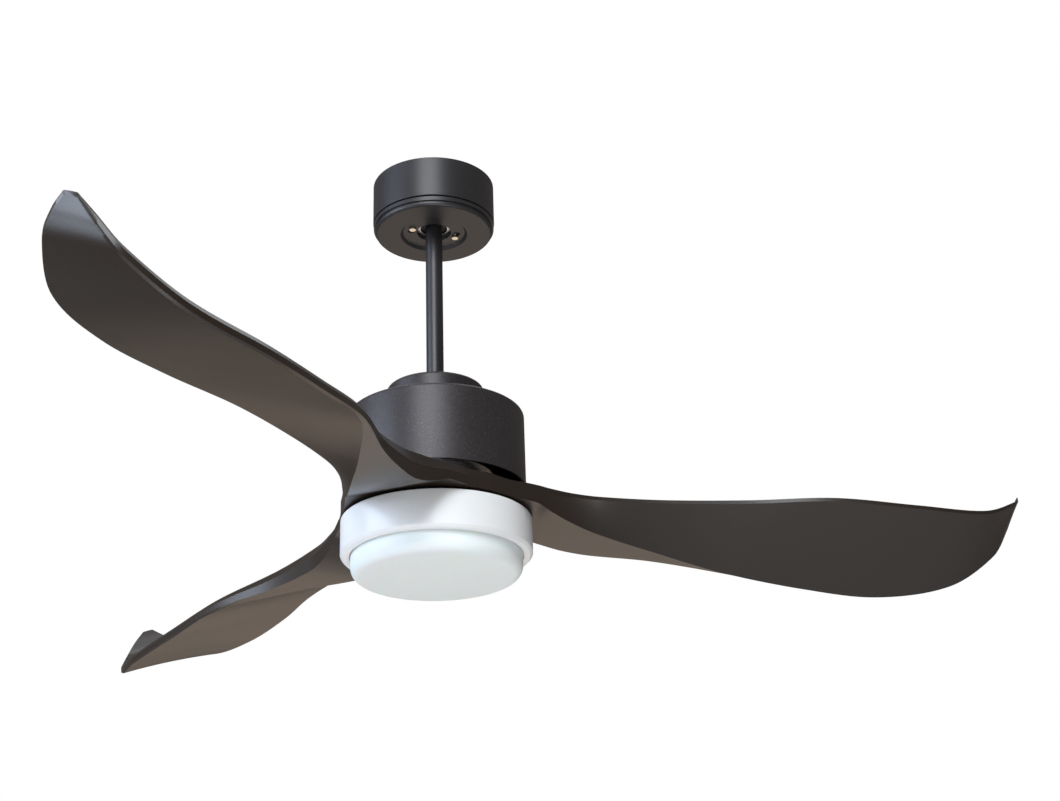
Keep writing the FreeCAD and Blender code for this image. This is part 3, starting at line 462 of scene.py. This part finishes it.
SECTION_ROWS_MM = (
    (50.5, (-87.3, -386.5), (-87.3, -405.4), (87.3, -405.4), (87.3, -386.5)),
    (75.0, (-72.0, -390.6), (-70.0, -405.4), (73.0, -405.4), (70.5, -386.6)),
    (101.0, (-59.0, -391.2), (-55.0, -405.4), (62.0, -405.4), (58.0, -386.8)),
    (116.0, (-52.0, -392.2), (-45.0, -411.0), (58.0, -411.0), (52.0, -387.6)),
    (140.0, (-43.0, -393.4), (-31.0, -418.5), (54.0, -419.5), (46.0, -389.5)),
    (170.0, (-37.0, -394.4), (-12.0, -423.5), (53.0, -425.0), (43.0, -393.5)),
    (240.0, (-35.0, -396.0), (34.0, -427.0), (61.0, -428.0), (53.0, -404.5)),
    (330.0, (-42.0, -397.0), (82.0, -434.0), (86.0, -433.0), (81.0, -420.0)),
    (420.0, (-59.0, -399.0), (94.0, -447.0), (97.0, -446.0), (93.5, -435.0)),
    (510.0, (-60.0, -406.0), (97.0, -455.5), (99.5, -454.5), (96.0, -443.5)),
    (590.0, (-47.0, -406.0), (76.0, -448.5), (78.5, -447.5), (76.0, -437.0)),
    (636.0, (-23.0, -386.5), (50.0, -421.0), (52.5, -420.0), (51.0, -410.5)),
    (650.0, (-5.0, -375.0), (34.0, -395.0), (36.0, -394.5), (35.0, -387.0)),
    (656.0, (9.0, -368.0), (22.0, -374.0), (23.0, -373.5), (22.0, -369.5)),
)


def smooth_through(points: list[Vector], share: float) -> Vector:
    """Return the point at a share of a smooth curve through all the points.

    Args:
        points: The points that the curve goes through.
        share: How far along, from 0 to 1.

    Returns:
        The point on the curve.
    """
    spans = len(points) - 1
    place = min(share * spans, spans - 1e-9)
    index = int(place)
    t = place - index
    before, after = points[max(index - 1, 0)], points[min(index + 2, spans)]
    start, end = points[index], points[index + 1]
    first_step = (end - start).length
    last_step = (start - before).length or first_step
    next_step = (after - end).length or first_step
    leave = (end - before) * (first_step / (first_step + last_step))
    arrive = (after - start) * (first_step / (first_step + next_step))
    return (
        start * (2 * t**3 - 3 * t**2 + 1) + leave * (t**3 - 2 * t**2 + t)
        + end * (-2 * t**3 + 3 * t**2) + arrive * (t**3 - t**2)
    )


@dataclass
class Blades:
    """Three moulded blades with thick rounded leading edges and thin tails."""

    lead_angle: float = math.radians(5.0)
    tail_edge: float = 4.0 * MM
    rings: int = 120
    underside_points: int = 14
    camber: float = 0.035
    rails: list[list[Vector]] = field(default_factory=list)

    def outline(self, share: float) -> list[Vector]:
        """Return the closed outline across the blade at a share of its length.

        Args:
            share: How far along, from the hub (0) to the tip (1).

        Returns:
            The outline's points in order, underside first.
        """
        tail, front, back, lead = (smooth_through(rail, share) for rail in self.rails)
        thin = min(1.0, max(0.0, (share - 0.02) * 12.0))
        tail_top = tail + Vector((0, 0, self.tail_edge * thin))
        chord = (front - tail).length
        underside = []
        for k in range(self.underside_points + 1):
            t = k / self.underside_points
            point = tail.lerp(front, t)
            lift = self.camber * chord * 4 * t * (1 - t) * thin
            underside.append(point + Vector((0, 0, lift * 0.5)))
        nose = [back, back.lerp(lead, 0.5) + Vector((0, (lead - back).length * 0.16 * thin, 0)), lead]
        top = []
        for k in range(1, self.underside_points):
            t = k / self.underside_points
            point = lead.lerp(tail_top, t)
            lift = self.camber * chord * 4 * t * (1 - t) * thin
            top.append(point + Vector((0, 0, lift * 0.5)))
        return underside + nose + top + [tail_top]

    def build(self) -> None:
        """Model one blade, then copy it round the hub."""
        for corner in range(1, 5):
            self.rails.append([Vector((row[0], *row[corner])) * MM for row in SECTION_ROWS_MM])
        first = self.loft()
        for index in range(3):
            piece = first if index == 2 else first.copy()
            if index != 2:
                piece.data = first.data.copy()
                bpy.context.collection.objects.link(piece)
            piece.name = f"blade_form_{index + 1}"
            turn = Matrix.Rotation(self.lead_angle + math.radians(120 * index), 4, "Z")
            piece.data.transform(turn)
            dress(piece, BLADE_PLASTIC, Body.ROTOR, "blade_plastic", f"blade_{index + 1}")

    def loft(self) -> bpy.types.Object:
        """Skin the outlines into one closed blade.

        Returns:
            The blade in its own frame.
        """
        form = bmesh.new()
        rows = []
        for ring in range(self.rings + 1):
            rows.append([form.verts.new(p) for p in self.outline(ring / self.rings)])
        count = len(rows[0])
        for lower, upper in zip(rows, rows[1:]):
            for k in range(count):
                after = (k + 1) % count
                form.faces.new((lower[k], lower[after], upper[after], upper[k]))
        form.faces.new(rows[0])
        form.faces.new(rows[-1])
        mesh = bpy.data.meshes.new("blade_form")
        form.to_mesh(mesh)
        form.free()
        piece = bpy.data.objects.new("blade_form", mesh)
        bpy.context.collection.objects.link(piece)
        settle(piece, Smoothing.CRISP)
        return piece


# --- carried-over nodes ---------------------------------------------------------------


@dataclass
class CarriedNodes:
    """The exact pieces of the frame, which only take better finishes."""

    def dress(self) -> None:
        """Give every node of the frame its procedural finish."""
        for row in frame["record"]["subparts"]:
            piece = frame["nodes"][row["node"]]
            finish = SLOT_FINISHES[row["material_slot"]]
            for slot in piece.material_slots:
                slot.material = finish.material()
            if not piece.material_slots:
                piece.data.materials.append(finish.material())
            LOG.info("%s takes %s", row["node"], finish.name)


# --- the room -------------------------------------------------------------------------


@dataclass
class Studio:
    """Camera, lights and the plain floor far below the fan."""

    camera_place: tuple[float, float, float] = (0.0, -1.6515, -1.0052)
    yaw: float = 0.0625
    pitch: float = 0.4188
    roll: float = -0.0345
    lens: float = 56.21
    floor_height: float = -2.3
    floor_glow: float = 0.45

    def build(self) -> None:
        """Set the camera, the sky, the softboxes and the floor."""
        self.add_camera()
        self.add_sky()
        self.add_softbox("front_softbox", (-0.5, -3.3, 1.2), 2.0, 120.0, (0.90, 0.95, 1.0))
        self.add_softbox("left_softbox", (-2.7, -0.9, 0.1), 1.9, 80.0, (0.72, 0.83, 1.0))
        self.add_softbox("under_softbox", (0.3, -1.3, -2.1), 1.4, 22.0, (1.0, 0.97, 0.94))
        self.add_softbox("rear_low_softbox", (0.0, 2.7, -1.9), 2.6, 15.0, (1.0, 0.78, 0.60))
        self.add_softbox("top_softbox", (0.0, 0.4, 1.8), 2.2, 25.0, (0.92, 0.96, 1.0))
        clear_selection()
        bpy.ops.mesh.primitive_plane_add(size=16.0, location=(0, 0, self.floor_height))
        floor = bpy.context.object
        floor.name = "floor"
        paint = Finish("pale_floor", (0.80, 0.80, 0.79), (0.83, 0.83, 0.82), 0.6, patch_per_metre=1.0)
        floor.data.materials.append(self.show_pale(paint.material()))

    def show_pale(self, material: bpy.types.Material) -> bpy.types.Material:
        """Make a floor look pale to the eye without throwing light up at the fan.

        Args:
            material: The floor's material.

        Returns:
            The same material.
        """
        nodes, links = material.node_tree.nodes, material.node_tree.links
        ray, glow = nodes.new("ShaderNodeLightPath"), nodes.new("ShaderNodeMath")
        glow.operation = "MULTIPLY"
        glow.inputs[1].default_value = self.floor_glow
        links.new(ray.outputs["Is Camera Ray"], glow.inputs[0])
        shader = nodes["Principled BSDF"]
        shader.inputs["Emission Color"].default_value = (1.0, 1.0, 1.0, 1.0)
        links.new(glow.outputs[0], shader.inputs["Emission Strength"])
        return material

    def add_camera(self) -> None:
        """Place the camera, looking up at the fan."""
        sin_yaw, cos_yaw = math.sin(self.yaw), math.cos(self.yaw)
        sin_pitch, cos_pitch = math.sin(self.pitch), math.cos(self.pitch)
        ahead = Vector((sin_yaw * cos_pitch, cos_yaw * cos_pitch, sin_pitch))
        right = Vector((cos_yaw, -sin_yaw, 0))
        up = right.cross(ahead)
        rolled_right = right * math.cos(self.roll) + up * math.sin(self.roll)
        rolled_up = up * math.cos(self.roll) - right * math.sin(self.roll)
        turn = Matrix((rolled_right, rolled_up, -ahead)).transposed().to_4x4()
        data = bpy.data.cameras.new("camera")
        data.lens = self.lens
        data.sensor_width = 36.0
        camera = bpy.data.objects.new("camera", data)
        bpy.context.collection.objects.link(camera)
        camera.matrix_world = Matrix.Translation(self.camera_place) @ turn
        bpy.context.scene.camera = camera
        bpy.context.scene.view_settings.view_transform = "Standard"

    def add_sky(self) -> None:
        """Surround the fan with white that lights it only gently."""
        world = bpy.data.worlds.new("white_room")
        world.use_nodes = True
        nodes, links = world.node_tree.nodes, world.node_tree.links
        shown, lit = nodes["Background"], nodes.new("ShaderNodeBackground")
        shown.inputs["Color"].default_value = (1.0, 1.0, 1.0, 1.0)
        shown.inputs["Strength"].default_value = 1.0
        lit.inputs["Color"].default_value = (1.0, 0.90, 0.82, 1.0)
        lit.inputs["Strength"].default_value = 0.16
        ray, mix = nodes.new("ShaderNodeLightPath"), nodes.new("ShaderNodeMixShader")
        links.new(ray.outputs["Is Camera Ray"], mix.inputs["Fac"])
        links.new(lit.outputs[0], mix.inputs[1])
        links.new(shown.outputs[0], mix.inputs[2])
        links.new(mix.outputs[0], nodes["World Output"].inputs["Surface"])
        bpy.context.scene.world = world

    def add_softbox(
        self, name: str, place: tuple[float, float, float], size: float, power: float,
        colour: tuple[float, float, float],
    ) -> None:
        """Add one square lamp that faces the motor.

        Args:
            name: The lamp's name.
            place: Where it hangs, in metres.
            size: Its side, in metres.
            power: Its power, in watts.
            colour: Its colour.
        """
        data = bpy.data.lights.new(name, "AREA")
        data.size = size
        data.energy = power
        data.color = colour
        lamp = bpy.data.objects.new(name, data)
        bpy.context.collection.objects.link(lamp)
        aim = Vector((0.0, 0.0, -0.35)) - Vector(place)
        lamp.matrix_world = Matrix.Translation(place) @ aim.to_track_quat("-Z", "Y").to_matrix().to_4x4()


def main() -> None:
    """Build the fan piece by piece, then the room."""
    logging.basicConfig(level=logging.INFO, format="%(message)s")
    clear_selection()
    CarriedNodes().dress()
    Canopy().build()
    DrumCovers().build()
    Lamp().build()
    Blades().build()
    Studio().build()


if __name__ == "__main__":
    main()
